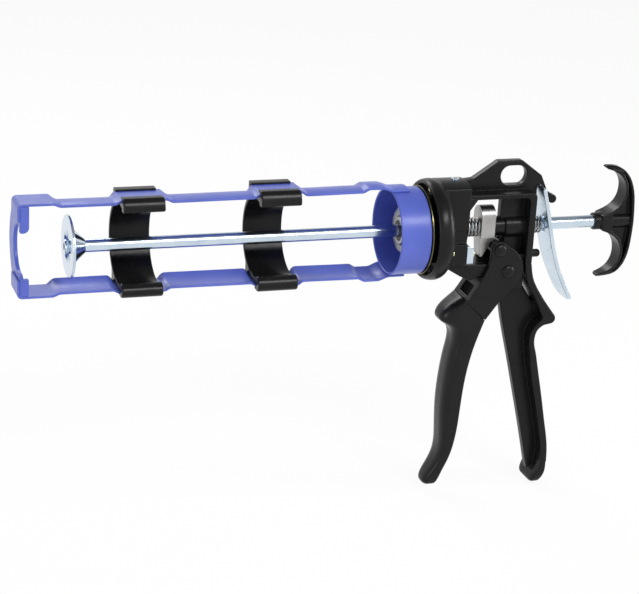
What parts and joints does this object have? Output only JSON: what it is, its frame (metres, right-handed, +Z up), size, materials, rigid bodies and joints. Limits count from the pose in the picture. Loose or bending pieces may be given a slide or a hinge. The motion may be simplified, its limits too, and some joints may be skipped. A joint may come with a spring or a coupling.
{
  "type": "caulking gun",
  "caption": "Hand caulking gun: an open turning cradle of two rails, a round plunger rod with pusher disc, a trigger and gripper drive, a release lever and a pull handle.",
  "frame": {"origin": "on the rod's axis, in the plane of the collar's rear face, where the cradle turns against the body", "axes": "+X along the rod towards the pull handle, +Z up away from the handles, -Y the open side of the cradle"},
  "size_m": [0.4014, 0.0644, 0.2216],
  "materials": {
    "blue_paint": "satin blue paint",
    "black_casting": "satin black paint",
    "black_plastic": "fine satin black plastic",
    "bright_zinc": "bright bluish zinc",
    "yellow_zinc": "yellow zinc",
    "grey_steel": "plain grey steel"
  },
  "bodies": {
    "frame": {"body_casting": "black_casting", "bearing_disc": "yellow_zinc", "flange_screws": "yellow_zinc", "cradle_nut": "grey_steel", "spigot_bush": "black_plastic", "rear_rod_bush": "black_plastic", "bush_set_screw": "grey_steel", "stop_tongue": "bright_zinc", "stop_screw": "bright_zinc", "return_spring": "grey_steel", "release_spring": "grey_steel"},
    "cradle": {"nose_plate": "blue_paint", "upper_rail": "blue_paint", "lower_rail": "blue_paint", "cradle_collar": "blue_paint", "front_clip": "black_plastic", "rear_clip": "black_plastic"},
    "trigger": {"trigger_yoke": "black_casting", "trigger_grip": "black_plastic", "trigger_pivot_pin": "black_casting", "drive_pin": "black_casting"},
    "gripper": {"drive_gripper": "grey_steel"},
    "plunger": {"plunger_rod": "bright_zinc", "pusher_disc": "bright_zinc", "backing_cone": "bright_zinc", "disc_screw": "bright_zinc", "pull_handle": "black_plastic"},
    "release": {"release_lever": "bright_zinc"}
  },
  "joints": [
    {"name": "cradle_swivel", "type": "hinge", "parent": "frame", "child": "cradle", "pos_m": [0, 0, 0], "axis": [1, 0, 0], "continuous": true},
    {"name": "trigger_pull", "type": "hinge", "parent": "frame", "child": "trigger", "pos_m": [0.0596, 0, -0.027], "axis": [0, -1, 0], "range_deg": [0, 23], "stiffness_Nm_per_rad": 0.8, "springref_deg": -14.32},
    {"name": "gripper_slide", "type": "slide", "parent": "frame", "child": "gripper", "axis": [-1, 0, 0], "range_m": [0, 0.00322], "deforming": ["return_spring"]},
    {"name": "plunger_slide", "type": "slide", "parent": "frame", "child": "plunger", "axis": [1, 0, 0], "range_m": [-0.022, 0.195]},
    {"name": "release_press", "type": "hinge", "parent": "frame", "child": "release", "pos_m": [0.0812, 0, 0.025], "axis": [0, 1, 0], "range_deg": [0, 5], "stiffness_Nm_per_rad": 0.6, "springref_deg": -11.46, "deforming": ["release_spring"]}
  ],
  "couplings": [
    {"joint": "gripper_slide", "follows": "trigger_pull", "m_per_rad": 0.007988}
  ]
}
